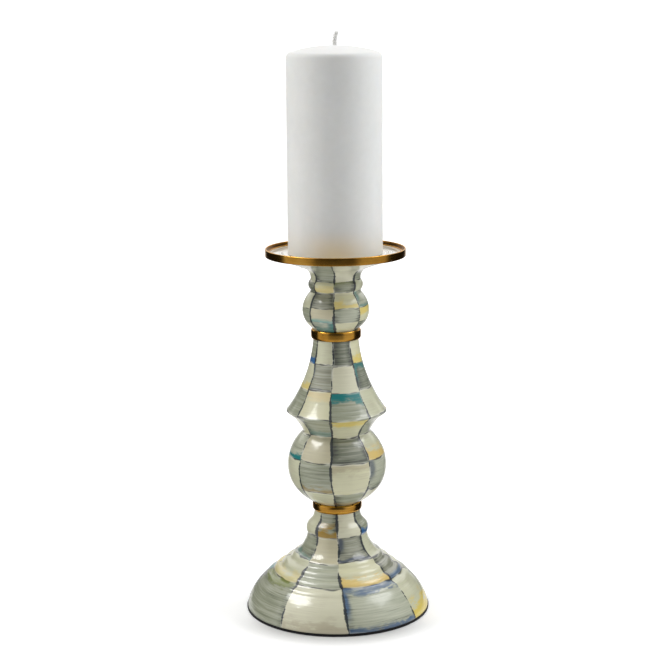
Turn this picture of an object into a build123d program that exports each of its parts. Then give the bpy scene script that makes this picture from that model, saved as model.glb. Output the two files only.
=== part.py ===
from build123d import *
import os
from math import acos, cos, radians, sin

# A tall candlestick: three enamelled steel shells with two brass collars between them, a round
# tray with a brass rim on top, and a pillar candle standing on the tray. One threaded rod clamps
# the whole stack, from a nut in the tray's dimple down to a nut inside the hollow foot.
#
# Frame: +Z up, origin on the axis, on the surface that the foot stands on. Millimetres.
# Every outline is a half section, given as (radius, height) and drawn upwards.

# ---------------------------------------------------------------- driving dimensions
FOOT_R = 75.7            # outside of the black edge that the foot stands on
WALL = 1.2               # enamelled steel, enamel included
CLEAR = 0.2              # slack between a shell's spigot and the collar over it

TRIM_H = 2.1             # black foot edge, a U channel
TRIM_T = 0.6
TRIM_SOLE = 0.9

DOME_EDGE_Z = 3.6        # foot: upright edge, then a dome
DOME_MID = (69.4, 16.0)
RIDGES = 4               # rounded ridges up the slope of the foot
RIDGE_FIRST = (57.7, 28.4)
RIDGE_LAST = (35.2, 46.5)
RIDGE_WIDTH = 5.9        # chord of one ridge, on the slope
RIDGE_RISE = 0.7
HOLLOW_MID = (27.6, 55.0)
NOTCH = (24.4, 64.2)     # under the bead of the foot's neck
BEAD_MID = (25.4, 67.3)
BEAD_TOP = (22.4, 74.2)
NECK_MID = (20.1, 77.2)
BASE_NECK_R = 19.0
BASE_NECK_Z = 81.2

COLLAR_R = 20.4          # brass collars, H in section
COLLAR_H = 5.9
COLLAR_WEB = 2.0
COLLAR_EDGE = 0.5        # chamfer on the outer corners
SPIGOT_R = 18.4          # end of each shell, inside a collar
GASKET_R = 17.4
GASKET_T = 0.5
LOWER_COLLAR_Z = 83.4    # underside of each collar
UPPER_COLLAR_Z = 228.4

BALL_R = 40.5            # ball at the foot of the stem
BALL_Z = 122.0
BALL_LOW = 35.0          # semi-axes of its lower and upper halves
BALL_HIGH = 38.5
WAIST_R = 27.2
FLANK_MID = (32.4, 159.4)
SHOULDER = (40.7, 167.0)       # sharp shoulder of the baluster, rounded over
SHOULDER_MID = (41.0, 167.7)
SHOULDER_TOP = (40.5, 168.4)
TAPER_MID = (24.9, 197.6)
TAPER_TOP_Z = 227.6

KNOP_R = 27.1
KNOP_Z = 251.0
KNOP_LOW = 21.0
KNOP_HIGH = 22.5
COVE_R = 20.5            # between the knop and its bead
KNOP_BEAD_FOOT = (20.4, 267.8)
KNOP_BEAD_MID = (22.1, 271.8)
KNOP_BEAD_HEAD = (20.2, 276.0)
KNOP_NECK = (20.2, 277.0)
FLARE_R = 9.0            # radius of the flare's bend
FLARE_TURN = 69.0        # degrees that the bend turns through
FLARE_LIP_R = 53.6       # where the flare meets the rim

RIM_R = 56.2             # brass rim
RIM_Z = 295.1
RIM_H = 5.6
RIM_T = 1.2
RIM_FOLD = 0.7           # lip folded under the flare
LEDGE_R = 52.4           # ledge inside the rim, over the pan's edge
LEDGE_T = 0.8

PAN_T = 0.8              # tray pan
PAN_EDGE_Z = 297.8       # top of its outer edge, under the ledge
PAN_FLOOR_Z = 297.4
WELL_R = 42.4            # shallow step round the candle
WELL_DEPTH = 0.6
DIMPLE_R = 12.0          # dimple that hides the nut
DIMPLE_Z = 288.2

ROD_R = 3.0              # M6 tie rod
ROD_HOLE_R = 3.3
ROD_LOW_Z = 71.5
ROD_HIGH_Z = 295.4
NUT_AF = 10.0
NUT_H = 5.0
TRAY_WASHER_R = 9.0
TRAY_WASHER_T = 1.2
BASE_WASHER_R = 15.0
BASE_WASHER_T = 1.6
LOCK_WASHER_R = 5.9
LOCK_WASHER_T = 1.6
LOCK_GAP = 1.4
SPACER_R = 6.0

CANDLE_R = 38.1          # 3 inch pillar candle
CANDLE_H = 165.0
CANDLE_HEEL = 0.8        # radius at its lower edge
CANDLE_SHOULDER = 3.0
CANDLE_DOME = 4.8        # rise of the domed top above the shoulder
WICK_R = 1.25
WICK_STRAIGHT = 3.2      # upright stretch above the wax
WICK_SLANT = 7.4         # leaning stretch above that
WICK_LEAN = 15.0         # degrees

# ---------------------------------------------------------------- heights worked out from those
COLLAR_SEAT = (COLLAR_H - COLLAR_WEB) / 2
BASE_TOP_Z = LOWER_COLLAR_Z + COLLAR_SEAT - GASKET_T
STEM_LOW_Z = LOWER_COLLAR_Z + COLLAR_H - COLLAR_SEAT + GASKET_T
STEM_TOP_Z = UPPER_COLLAR_Z + COLLAR_SEAT - GASKET_T
KNOP_LOW_Z = UPPER_COLLAR_Z + COLLAR_H - COLLAR_SEAT + GASKET_T
FLARE_LIP_Z = RIM_Z + RIM_FOLD
CANDLE_Z = PAN_FLOOR_Z - WELL_DEPTH
CANDLE_TOP_Z = CANDLE_Z + CANDLE_H


# ---------------------------------------------------------------- outline helpers
def place(point):
    """A half-section point (radius, height) on the XZ plane."""
    radius, height = tuple(point)[:2]
    return Vector(radius, 0, height)


def run(*points):
    """Straight edges through the points."""
    return [Edge.make_line(place(a), place(b)) for a, b in zip(points, points[1:])]


def bow(start, middle, end):
    """One arc through three points."""
    return [Edge.make_three_point_arc(place(start), place(middle), place(end))]


def quarter(radius, height, centre_z, neck_r, below):
    """Two smoothly joined arcs, near to an ellipse, between its full radius and a neck radius.

    Returns the neck point and the arcs, which are drawn upwards.
    """
    up = -1 if below else 1
    turn = acos(neck_r / radius)
    points = [Vector(radius * cos(angle), centre_z + up * height * sin(angle)) for angle in (0, turn / 2, turn)]
    heading = Vector(0, up)
    arcs = []
    for start, end in zip(points, points[1:]):
        along = (end - start).normalized()
        bend = (heading - along * heading.dot(along)) / (1 + heading.dot(along))
        middle = start + (end - start) / 2 + bend * (end - start).length / 2
        heading = along * (2 * heading.dot(along)) - heading
        if below:
            arcs = bow(end, middle, start) + arcs
        else:
            arcs = arcs + bow(start, middle, end)
    return points[-1], arcs


def turned(edges):
    """The solid of revolution of a closed half section."""
    return Solid.revolve(Face(Wire(edges)), 360, Axis.Z)


def sheet(edges, thickness):
    """A turned shell of even thickness, to the left of an open outline as it is drawn."""
    section = Wire(edges).offset_2d(thickness, kind=Kind.ARC, side=Side.RIGHT, closed=True)
    return Solid.revolve(Face(section), 360, Axis.Z)


def ring(inner_r, outer_r, low_z, high_z):
    """A flat ring or a tube."""
    corners = [(inner_r, low_z), (outer_r, low_z), (outer_r, high_z), (inner_r, high_z)]
    return turned(run(*corners, corners[0]))


def disc(radius, low_z, high_z):
    """A plain cylinder on the axis."""
    return Solid.make_cylinder(radius, high_z - low_z, Plane(origin=(0, 0, low_z)))


# ---------------------------------------------------------------- enamelled shells
def ridge_slope():
    """Rounded ridges with hollows between them, smoothly joined, up the slope of the foot."""
    first = Vector(*RIDGE_FIRST)
    last = Vector(*RIDGE_LAST)
    pitch = (last - first).length / (RIDGES - 1)
    along = (last - first).normalized()
    outward = Vector(along.Y, -along.X)
    half_ridge = along * (RIDGE_WIDTH / 2)
    hollow_width = pitch - RIDGE_WIDTH
    hollow_depth = RIDGE_RISE * hollow_width / RIDGE_WIDTH
    edges = []
    for index in range(RIDGES):
        centre = first + along * (pitch * index)
        if index:
            middle = centre - half_ridge - along * (hollow_width / 2) - outward * hollow_depth
            before = centre - half_ridge - along * hollow_width
            edges += bow(before, middle, centre - half_ridge)
        edges += bow(centre - half_ridge, centre + outward * RIDGE_RISE, centre + half_ridge)
    return first - half_ridge, edges, last + half_ridge


def base_shell():
    """The spreading foot: dome, ridges, hollow neck with a bead, and the end plate."""
    edge_r = FOOT_R - TRIM_T
    slope_foot, slope, slope_head = ridge_slope()
    edges = run((edge_r, TRIM_SOLE), (edge_r, DOME_EDGE_Z))
    edges += bow((edge_r, DOME_EDGE_Z), DOME_MID, slope_foot)
    edges += slope
    edges += bow(slope_head, HOLLOW_MID, NOTCH)
    edges += bow(NOTCH, BEAD_MID, BEAD_TOP)
    edges += bow(BEAD_TOP, NECK_MID, (BASE_NECK_R, BASE_NECK_Z))
    edges += run((BASE_NECK_R, BASE_NECK_Z), (SPIGOT_R, LOWER_COLLAR_Z), (SPIGOT_R, BASE_TOP_Z),
                 (ROD_HOLE_R, BASE_TOP_Z))
    return sheet(edges, WALL)


def stem():
    """The baluster: ball, waist, sharp shoulder and long taper, closed by a plate at each end."""
    ball_foot, ball_low = quarter(BALL_R, BALL_LOW, BALL_Z, SPIGOT_R, below=True)
    waist, ball_high = quarter(BALL_R, BALL_HIGH, BALL_Z, WAIST_R, below=False)
    taper_top = (SPIGOT_R, TAPER_TOP_Z)
    edges = run((ROD_HOLE_R, STEM_LOW_Z), (SPIGOT_R, STEM_LOW_Z), ball_foot)
    edges += ball_low + ball_high
    edges += bow(waist, FLANK_MID, SHOULDER)
    edges += bow(SHOULDER, SHOULDER_MID, SHOULDER_TOP)
    edges += bow(SHOULDER_TOP, TAPER_MID, taper_top)
    edges += run(taper_top, (SPIGOT_R, STEM_TOP_Z), (ROD_HOLE_R, STEM_TOP_Z))
    return sheet(edges, WALL)


def knop():
    """The upper piece: end plate, round knop, bead, neck and the flare under the tray."""
    knop_foot, knop_low = quarter(KNOP_R, KNOP_LOW, KNOP_Z, SPIGOT_R, below=True)
    cove, knop_high = quarter(KNOP_R, KNOP_HIGH, KNOP_Z, COVE_R, below=False)
    half_turn = radians(FLARE_TURN / 2)
    full_turn = radians(FLARE_TURN)
    bend_r = KNOP_NECK[0] + FLARE_R
    bend_mid = (bend_r - FLARE_R * cos(half_turn), KNOP_NECK[1] + FLARE_R * sin(half_turn))
    bend_end = (bend_r - FLARE_R * cos(full_turn), KNOP_NECK[1] + FLARE_R * sin(full_turn))
    edges = run((ROD_HOLE_R, KNOP_LOW_Z), (SPIGOT_R, KNOP_LOW_Z), knop_foot)
    edges += knop_low + knop_high
    edges += run(cove, KNOP_BEAD_FOOT)
    edges += bow(KNOP_BEAD_FOOT, KNOP_BEAD_MID, KNOP_BEAD_HEAD)
    edges += run(KNOP_BEAD_HEAD, KNOP_NECK)
    edges += bow(KNOP_NECK, bend_mid, bend_end)
    edges += run(bend_end, (FLARE_LIP_R, FLARE_LIP_Z), (RIM_R - RIM_T, FLARE_LIP_Z))
    return sheet(edges, WALL)


# ---------------------------------------------------------------- tray
def tray_pan():
    """The pan: edge, flat floor, shallow well for the candle and the dimple round the nut."""
    well_z = PAN_FLOOR_Z - WELL_DEPTH
    bend = 1.0
    top = [(RIM_R - RIM_T, PAN_EDGE_Z), (LEDGE_R - 0.2, PAN_EDGE_Z), (LEDGE_R - 0.6, PAN_FLOOR_Z),
           (WELL_R + WELL_DEPTH, PAN_FLOOR_Z), (WELL_R, well_z), (DIMPLE_R + bend, well_z),
           (DIMPLE_R, well_z - bend), (DIMPLE_R, DIMPLE_Z + bend), (DIMPLE_R - bend, DIMPLE_Z),
           (ROD_HOLE_R, DIMPLE_Z)]
    return sheet(run(*top), PAN_T)


def tray_rim():
    """The brass rim: band, folded lip under the flare and ledge over the pan's edge."""
    wall_r = RIM_R - RIM_T
    top_z = RIM_Z + RIM_H
    ledge_z = PAN_EDGE_Z + LEDGE_T
    edge = 0.3
    crown = (RIM_R - RIM_T / 2, top_z)
    edges = run((FLARE_LIP_R, FLARE_LIP_Z), (FLARE_LIP_R, RIM_Z), (RIM_R - edge, RIM_Z), (RIM_R, RIM_Z + edge),
                (RIM_R, top_z - RIM_T / 2))
    edges += bow((RIM_R, top_z - RIM_T / 2), crown, (wall_r, top_z - RIM_T / 2))
    edges += run((wall_r, top_z - RIM_T / 2), (wall_r, ledge_z), (LEDGE_R + edge, ledge_z),
                 (LEDGE_R, ledge_z - edge), (LEDGE_R, PAN_EDGE_Z), (wall_r, PAN_EDGE_Z),
                 (wall_r, FLARE_LIP_Z), (FLARE_LIP_R, FLARE_LIP_Z))
    return turned(edges)


# ---------------------------------------------------------------- collars and clamping hardware
def collar(low_z):
    """A brass collar: a band with a web across its middle, between two gaskets."""
    high_z = low_z + COLLAR_H
    web_low = low_z + COLLAR_SEAT
    web_high = high_z - COLLAR_SEAT
    recess_r = SPIGOT_R + CLEAR
    corners = [(ROD_HOLE_R, web_low), (recess_r, web_low), (recess_r, low_z),
               (COLLAR_R - COLLAR_EDGE, low_z), (COLLAR_R, low_z + COLLAR_EDGE),
               (COLLAR_R, high_z - COLLAR_EDGE), (COLLAR_R - COLLAR_EDGE, high_z),
               (recess_r, high_z), (recess_r, web_high), (ROD_HOLE_R, web_high)]
    return turned(run(*corners, corners[0]))


def hex_nut(low_z):
    """A hexagon nut with chamfered corners, threaded onto the rod."""
    hexagon = RegularPolygon(radius=NUT_AF / 2, side_count=6, major_radius=False)
    prism = extrude(Plane(origin=(0, 0, low_z)) * hexagon, NUT_H)
    corner_r = NUT_AF / 2 / cos(radians(30))
    flat_r = NUT_AF / 2 * 0.97
    drop = (corner_r - flat_r) * 0.6
    high_z = low_z + NUT_H
    profile = [(ROD_R, low_z), (flat_r, low_z), (corner_r, low_z + drop), (corner_r, high_z - drop),
               (flat_r, high_z), (ROD_R, high_z)]
    return prism & turned(run(*profile, profile[0]))


def split_washer(low_z):
    """The spring washer: a ring with one slanting cut."""
    whole = ring(ROD_R + 0.1, LOCK_WASHER_R, low_z, low_z + LOCK_WASHER_T)
    cut = Box(LOCK_WASHER_R, LOCK_GAP, 3 * LOCK_WASHER_T, align=(Align.MIN, Align.CENTER, Align.CENTER))
    return whole - Pos(0, 0, low_z + LOCK_WASHER_T / 2) * Rot(25, 0, 0) * cut


def foot_edge_trim():
    """The U channel over the foot's lower edge."""
    outer_r = FOOT_R
    sheet_r = FOOT_R - TRIM_T
    corners = [(sheet_r - WALL - TRIM_T, 0), (outer_r - 0.2, 0), (outer_r, 0.2), (outer_r, TRIM_H),
               (sheet_r, TRIM_H), (sheet_r, TRIM_SOLE), (sheet_r - WALL, TRIM_SOLE),
               (sheet_r - WALL, TRIM_H), (sheet_r - WALL - TRIM_T, TRIM_H)]
    return turned(run(*corners, corners[0]))


# ---------------------------------------------------------------- candle
def candle():
    """The pillar candle: rounded heel and shoulder, domed top, and a hole along the axis."""
    dome_foot_r = CANDLE_R - CANDLE_SHOULDER
    dome_foot_z = CANDLE_TOP_Z - CANDLE_DOME
    half = sin(radians(45))
    shoulder_z = dome_foot_z - CANDLE_SHOULDER
    edges = run((WICK_R, CANDLE_Z), (CANDLE_R - CANDLE_HEEL, CANDLE_Z))
    edges += bow((CANDLE_R - CANDLE_HEEL, CANDLE_Z),
                 (CANDLE_R - CANDLE_HEEL * (1 - half), CANDLE_Z + CANDLE_HEEL * (1 - half)),
                 (CANDLE_R, CANDLE_Z + CANDLE_HEEL))
    edges += run((CANDLE_R, CANDLE_Z + CANDLE_HEEL), (CANDLE_R, shoulder_z))
    edges += bow((CANDLE_R, shoulder_z),
                 (dome_foot_r + CANDLE_SHOULDER * half, shoulder_z + CANDLE_SHOULDER * half),
                 (dome_foot_r, dome_foot_z))
    edges += bow((dome_foot_r, dome_foot_z), (dome_foot_r / 2, dome_foot_z + CANDLE_DOME * 0.75),
                 (WICK_R, CANDLE_TOP_Z))
    edges += run((WICK_R, CANDLE_TOP_Z), (WICK_R, CANDLE_Z))
    return turned(edges)


def wick():
    """The wick: upright through the wax, then leaning towards +X."""
    bend_z = CANDLE_TOP_Z + WICK_STRAIGHT
    upright = disc(WICK_R, CANDLE_Z, bend_z)
    joint = Pos(0, 0, bend_z) * Sphere(WICK_R)
    slant_plane = Plane(origin=(0, 0, bend_z), z_dir=(sin(radians(WICK_LEAN)), 0, cos(radians(WICK_LEAN))))
    slant = Solid.make_cylinder(WICK_R, WICK_SLANT, slant_plane)
    return upright + joint + slant


# ---------------------------------------------------------------- every piece, by name
WASHER_LOW_Z = BASE_TOP_Z - WALL - BASE_WASHER_T
LOCK_LOW_Z = WASHER_LOW_Z - LOCK_WASHER_T

pieces = {
    "candle": candle(),
    "wick": wick(),
    "tray_pan": tray_pan(),
    "tray_rim": tray_rim(),
    "tray_nut": hex_nut(DIMPLE_Z + TRAY_WASHER_T),
    "tray_washer": ring(ROD_HOLE_R, TRAY_WASHER_R, DIMPLE_Z, DIMPLE_Z + TRAY_WASHER_T),
    "spacer_tube": ring(ROD_HOLE_R, SPACER_R, KNOP_LOW_Z + WALL, DIMPLE_Z - PAN_T),
    "knop": knop(),
    "stem": stem(),
    "base_shell": base_shell(),
    "foot_edge_trim": foot_edge_trim(),
    "tie_rod": disc(ROD_R, ROD_LOW_Z, ROD_HIGH_Z),
    "base_washer": ring(ROD_HOLE_R, BASE_WASHER_R, WASHER_LOW_Z, WASHER_LOW_Z + BASE_WASHER_T),
    "lock_washer": split_washer(LOCK_LOW_Z),
    "base_nut": hex_nut(LOCK_LOW_Z - NUT_H),
}

for place_name, low_z in (("upper", UPPER_COLLAR_Z), ("lower", LOWER_COLLAR_Z)):
    web_low_z = low_z + COLLAR_SEAT
    web_high_z = web_low_z + COLLAR_WEB
    pieces[place_name + "_collar"] = collar(low_z)
    pieces[place_name + "_collar_gasket_bottom"] = ring(ROD_HOLE_R, GASKET_R, web_low_z - GASKET_T, web_low_z)
    pieces[place_name + "_collar_gasket_top"] = ring(ROD_HOLE_R, GASKET_R, web_high_z, web_high_z + GASKET_T)

os.makedirs("parts", exist_ok=True)
for name, shape in pieces.items():
    export_step(shape, "parts/" + name + ".step")
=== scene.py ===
"""Looks of a hand-painted enamel candlestick with brass bands and a white pillar candle."""

import math

import bpy
import numpy as np
from mathutils import Euler, Matrix, Vector, noise


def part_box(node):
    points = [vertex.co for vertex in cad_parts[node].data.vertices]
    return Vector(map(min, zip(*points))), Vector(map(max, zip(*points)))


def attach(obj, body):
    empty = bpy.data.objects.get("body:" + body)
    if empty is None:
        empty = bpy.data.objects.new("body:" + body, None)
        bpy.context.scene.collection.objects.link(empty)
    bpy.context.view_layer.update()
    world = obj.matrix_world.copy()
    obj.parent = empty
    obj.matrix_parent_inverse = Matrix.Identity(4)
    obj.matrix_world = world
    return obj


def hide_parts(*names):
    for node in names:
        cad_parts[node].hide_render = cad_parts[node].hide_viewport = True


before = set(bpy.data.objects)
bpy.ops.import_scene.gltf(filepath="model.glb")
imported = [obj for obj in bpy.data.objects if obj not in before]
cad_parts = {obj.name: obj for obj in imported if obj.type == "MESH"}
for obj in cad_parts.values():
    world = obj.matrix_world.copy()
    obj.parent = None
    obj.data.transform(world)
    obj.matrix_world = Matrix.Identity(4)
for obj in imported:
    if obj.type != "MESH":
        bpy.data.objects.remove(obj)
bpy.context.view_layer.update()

MM = 0.001
STAND = "candlestick"  # the body that holds everything but the candle
CANDLE = "candle"

# The lathe-turned pieces.
TURN_STEPS = 240  # faces round a large piece
BAND_STEPS = 180  # faces round a smaller piece
FINE_STEP = 0.35 * MM  # spacing of an outline while it is being softened
LONG_STEP = 1.5 * MM  # longest face along a finished outline
SMALL_FINE_STEP = 0.08 * MM  # the same two for the bands
SMALL_LONG_STEP = 0.6 * MM
BEND_STEP = 4.0  # degrees that an outline may turn between two rings
CORNER = 12.0  # degrees of turn that count as a corner
OUTER = 0.02  # share of a normal that points outwards from which its wall counts as the outer one

# The pan, by radius. Towards the rim its white is painted tan, a painted reflection of the brass rim.
STEP_RADIUS = 43.2 * MM  # of its shallow step
BRASS_REFLECTION_FROM, BRASS_REFLECTION_TO = 47 * MM, 53 * MM  # where its white turns tan

# The painted check: eight columns, from the back round by the left, the front and the right.
COLUMNS = "GHABCDEF"
RAMP_SIZE = 32  # cells that one colour ramp holds

ENAMEL = {
    "ivory": (221, 219, 183),
    "cream": (210, 211, 181),
    "pale": (222, 220, 193),
    "beige": (206, 200, 169),
    "light": (180, 184, 162),
    "grey": (152, 157, 134),
    "taupe": (148, 150, 131),
    "dark": (126, 131, 114),
}
GREYS = ("light", "grey", "taupe", "dark")
WASHES = {
    "yellow": (232, 206, 86),
    "ochre": (158, 124, 0),
    "orange": (228, 190, 84),
    "peach": (236, 212, 150),
    "teal": (0, 124, 124),
    "aqua": (92, 172, 170),
    "blue": (32, 98, 156),
    "navy": (36, 58, 92),
    "steel": (44, 88, 132),
    "olive": (112, 124, 22),
    "brown": (150, 124, 92),
}
SIDES = ("low", "top", "left", "right")


# ---------------------------------------------------------------- shapes

def section(node):
    """The closed outline (radius, height) of a turned CAD node, where it meets the XZ half plane."""
    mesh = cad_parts[node].data
    on_plane = {}
    for v in mesh.vertices:
        if abs(v.co.y) < 1e-7 and v.co.x > 0:
            on_plane[v.index] = (round(v.co.x, 7), round(v.co.z, 7))
    beside = {}
    for edge in mesh.edges:
        a, b = (on_plane.get(i) for i in edge.vertices)
        if a and b and a != b:
            beside.setdefault(a, set()).add(b)
            beside.setdefault(b, set()).add(a)
    here = min(beside)
    loop, before = [here], None
    while True:
        onward = sorted(p for p in beside[here] if p != before)
        before, here = here, onward[0]
        if here == loop[0]:
            break
        loop.append(here)
    points = np.array(loop)
    after = np.roll(points, -1, axis=0)
    area = np.sum(points[:, 0] * after[:, 1] - after[:, 0] * points[:, 1])
    return points if area > 0 else points[::-1]


def turns(points):
    """Degrees of turn at each point of a closed outline."""
    ahead = np.roll(points, -1, axis=0) - points
    behind = points - np.roll(points, 1, axis=0)
    cross = behind[:, 0] * ahead[:, 1] - behind[:, 1] * ahead[:, 0]
    dot = np.sum(behind * ahead, axis=1)
    return np.degrees(np.arctan2(cross, dot))


def filled_in(points, step):
    """A closed outline with points at most a step apart, curved where it bends and sharp at its corners."""
    count = len(points)
    corner = np.abs(turns(points)) > CORNER
    made = []
    for i in range(count):
        a, b = points[i], points[(i + 1) % count]
        span = np.linalg.norm(b - a)
        tangents = []
        for j, is_corner in ((i, corner[i]), ((i + 1) % count, corner[(i + 1) % count])):
            if is_corner:
                tangents.append((b - a) / span)
                continue
            p, q, r = points[j - 1], points[j], points[(j + 1) % count]
            s, t = np.linalg.norm(q - p), np.linalg.norm(r - q)
            tangents.append(((q - p) / s * t + (r - q) / t * s) / (s + t))
        pieces = max(1, int(math.ceil(span / step)))
        for k in range(pieces):
            u = k / pieces
            made.append(
                (2 * u**3 - 3 * u**2 + 1) * a
                + (u**3 - 2 * u**2 + u) * span * tangents[0]
                + (3 * u**2 - 2 * u**3) * b
                + (u**3 - u**2) * span * tangents[1]
            )
    return np.array(made)


def softened(points, passes):
    """A closed outline with each point averaged with its neighbours, passes times."""
    for _ in range(passes):
        points = (np.roll(points, 1, axis=0) + 2 * points + np.roll(points, -1, axis=0)) / 4
    return points


def thinned(points, longest):
    """Drops the points that a smooth outline doesn't need."""
    bend = np.abs(turns(points))
    kept, since, travelled = [0], 0.0, 0.0
    for i in range(1, len(points)):
        since += bend[i]
        travelled += np.linalg.norm(points[i] - points[i - 1])
        if since > BEND_STEP or travelled > longest:
            kept.append(i)
            since, travelled = 0.0, 0.0
    return points[kept]


def outline(node, passes, step=FINE_STEP, longest=LONG_STEP):
    """The softened outline of a turned CAD node, ready to be turned."""
    return thinned(softened(filled_in(section(node), step), passes), longest)


def outward(points):
    """Unit normals of a closed outline that runs anticlockwise."""
    along = np.roll(points, -1, axis=0) - np.roll(points, 1, axis=0)
    along /= np.linalg.norm(along, axis=1)[:, None]
    return np.stack([along[:, 1], -along[:, 0]], axis=1)


def new_piece(name, verts, faces, material, body, replaced):
    """A smooth visible piece that rides on a body and stands in for some of its CAD nodes."""
    mesh = bpy.data.meshes.new(name)
    mesh.from_pydata([tuple(v) for v in verts], [], faces)
    mesh.materials.append(material)
    mesh.polygons.foreach_set("use_smooth", [True] * len(mesh.polygons))
    mesh.update()
    piece = bpy.data.objects.new(name, mesh)
    bpy.context.scene.collection.objects.link(piece)
    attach(piece, body)
    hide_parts(*replaced)
    return piece


def between_rings(rings, steps, closed=False, first=0):
    """Faces between rings of points that follow each other. Closed joins the last ring to the first."""
    faces = []
    for i in range(rings if closed else rings - 1):
        a, b = first + i * steps, first + (i + 1) % rings * steps
        for j in range(steps):
            on = (j + 1) % steps
            faces.append((a + j, a + on, b + on, b + j))
    return faces


def turned(points, steps=TURN_STEPS, relief=None):
    """Vertices and faces of a closed outline turned round the Z axis. relief(place) lifts its outer wall."""
    rings = len(points)
    normals = outward(points)
    angles = np.arange(steps) * 2 * math.pi / steps
    verts = np.zeros((rings, steps, 3))
    verts[:, :, 0] = points[:, 0:1] * np.cos(angles)
    verts[:, :, 1] = points[:, 0:1] * np.sin(angles)
    verts[:, :, 2] = points[:, 1:2]
    if relief:
        for i in range(rings):
            if normals[i, 0] < OUTER:
                continue
            for j in range(steps):
                lift = relief(Vector(verts[i, j]))
                verts[i, j, 0] += lift * normals[i, 0] * math.cos(angles[j])
                verts[i, j, 1] += lift * normals[i, 0] * math.sin(angles[j])
                verts[i, j, 2] += lift * normals[i, 1]
    return verts.reshape(-1, 3), between_rings(rings, steps, closed=True)


def ease(value, low, high):
    """0 below low, 1 above high, smooth between."""
    t = min(1.0, max(0.0, (value - low) / (high - low)))
    return t * t * (3 - 2 * t)


def hand_formed(node, swell, ripple):
    """The slight unevenness of a shell that was formed and brushed by hand, gone at both ends."""
    low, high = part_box(node)
    fade = 4 * MM
    swell_scale = 38  # waves per metre
    ripple_scale, ripple_scale_up = 60, 170
    elsewhere = Vector((7, 3, 1))

    def relief(place):
        free = ease(place.z, low.z, low.z + fade) * (1 - ease(place.z, high.z - fade, high.z))
        broad = noise.noise(place * swell_scale)
        fine = Vector((place.x * ripple_scale, place.y * ripple_scale, place.z * ripple_scale_up))
        return free * (swell * broad + ripple * noise.noise(fine + elsewhere))

    return relief


def painted_shell(name, node, material, passes, swell, ripple):
    """One of the three hollow enamelled shells of the stand."""
    verts, faces = turned(outline(node, passes), relief=hand_formed(node, swell, ripple))
    return new_piece(name, verts, faces, material, STAND, [node])


def plain_turned(name, node, material, passes, step, longest, steps):
    """A turned piece of the stand without hand-made relief."""
    verts, faces = turned(outline(node, passes, step, longest), steps)
    return new_piece(name, verts, faces, material, STAND, [node])


def collar_ring(name, node, material, reach_down, reach_up, drawn_in, fullness):
    """A spun collar: its band swells in the middle and draws in over the shells above and below it."""
    low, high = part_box(node)
    foot, top = low.z - reach_down, high.z + reach_up
    band_depth, count = 1.1 * MM, 32
    path = []
    for r, z in outline(node, 4, SMALL_FINE_STEP, SMALL_LONG_STEP):
        if r <= high.x - band_depth:
            path.append((r, z))
    seam = max(range(len(path)), key=lambda i: math.dist(path[i], path[(i + 1) % len(path)]))
    path = path[seam + 1:] + path[:seam + 1]
    band = []
    for k in range(count + 1):
        t = 2 * k / count - 1
        band.append((high.x - drawn_in * abs(t) ** fullness, (foot + top) / 2 + (top - foot) / 2 * t))
    if path[-1][1] >= path[0][1]:
        band.reverse()
    verts, faces = turned(np.array(path + band), BAND_STEPS)
    return new_piece(name, verts, faces, material, STAND, [node])


def rim_band(material):
    """The tray's rim, its band a little deeper and fuller than that of the CAD piece."""
    low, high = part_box("tray_rim")
    middle = (low.z + high.z) / 2
    fuller, deeper = 0.4 * MM, 0.13
    band_from, band_to = high.x - 1.9 * MM, high.x - 1.3 * MM
    points = []
    for r, z in outline("tray_rim", 4, SMALL_FINE_STEP, 0.8 * MM):
        share = ease(r, band_from, band_to)
        points.append((r + fuller * share, middle + (z - middle) * (1 + deeper * share)))
    verts, faces = turned(np.array(points))
    return new_piece("tray_rim_band", verts, faces, material, STAND, ["tray_rim"])


def candle_body(material):
    """A cast pillar: rounded heel and shoulder, low dome, and a little dip round the wick."""
    low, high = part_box("candle")
    radius, foot, top = high.x, low.z, high.z
    heel, shoulder, dome = 0.8 * MM, 4.4 * MM, 4.8 * MM
    dip_radius, dip_depth = 3.2 * MM, 0.7 * MM
    heel_steps, wall_steps, shoulder_steps, crown_steps = 4, 48, 12, 26
    shoulder_turn = 6.3  # degrees between two rings of the shoulder
    sag, sag_scale, pitting, pitting_scale = 0.10 * MM, 30, 0.03 * MM, 220
    path = [(0.0, foot), (radius * 0.5, foot)]
    for k in range(heel_steps + 1):
        a = math.radians(90 / heel_steps * k)
        path.append((radius - heel + heel * math.sin(a), foot + heel - heel * math.cos(a)))
    edge = top - dome
    for k in range(1, wall_steps):
        path.append((radius, foot + heel + (edge - shoulder - foot - heel) * k / wall_steps))
    for k in range(shoulder_steps + 1):
        a = math.radians(shoulder_turn * k)
        path.append((radius - shoulder + shoulder * math.cos(a), edge - shoulder + shoulder * math.sin(a)))
    start_r, start_z = path[-1]
    for k in range(1, crown_steps):
        r = start_r * (1 - k / crown_steps)
        z = start_z + (top - start_z) * (1 - (r / start_r) ** 2)
        z -= dip_depth * math.exp(-((r / dip_radius) ** 2))
        path.append((r, z))
    steps = 160
    verts, faces = [(0.0, 0.0, foot)], []
    for r, z in path[1:]:
        for j in range(steps):
            a = 2 * math.pi * j / steps
            place = Vector((r * math.cos(a), r * math.sin(a), z))
            side = place.to_2d().normalized()
            lift = sag * noise.noise(place * sag_scale) + pitting * noise.noise(place * pitting_scale)
            lift *= ease(z, foot, foot + 6 * MM)
            verts.append((place.x + side.x * lift, place.y + side.y * lift, z + lift * 0.5))
    rings = len(path) - 1
    for j in range(steps):
        faces.append((0, 1 + (j + 1) % steps, 1 + j))
    faces += between_rings(rings, steps, first=1)
    verts.append((0.0, 0.0, top - dip_depth))
    last = 1 + (rings - 1) * steps
    for j in range(steps):
        faces.append((last + j, last + (j + 1) % steps, len(verts) - 1))
    return new_piece("candle_wax", verts, faces, material, CANDLE, ["candle"])


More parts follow.
